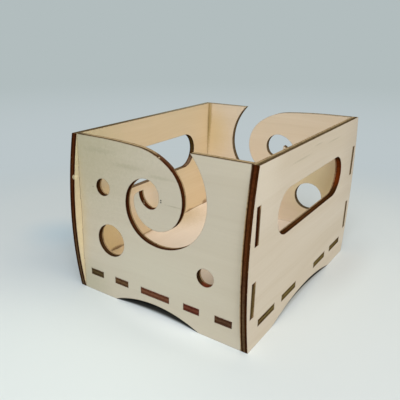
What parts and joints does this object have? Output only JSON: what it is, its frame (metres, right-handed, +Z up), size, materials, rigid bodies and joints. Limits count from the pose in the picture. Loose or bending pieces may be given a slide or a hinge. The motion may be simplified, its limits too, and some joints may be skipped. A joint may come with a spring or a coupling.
{
  "type": "yarn box",
  "caption": "Open-top plywood yarn box with tab and slot corners, bowed side walls with hand holes, and end walls with a swirl slot and round holes.",
  "frame": {"origin": "middle of the footprint, on the surface that the box stands on", "axes": "+Z up; the wall seen at the front of the picture faces -Y; +X to the right of someone who looks at that wall from outside"},
  "size_m": [0.12, 0.16, 0.1],
  "materials": {
    "front_wall_ply": "matt",
    "back_wall_ply": "matt",
    "right_wall_ply": "matt",
    "left_wall_ply": "matt",
    "floor_ply": "matt"
  },
  "bodies": {
    "root": {"front_wall": "front_wall_ply", "back_wall": "back_wall_ply", "right_side_wall": "right_wall_ply", "left_side_wall": "left_wall_ply", "floor": "floor_ply"}
  },
  "joints": []
}
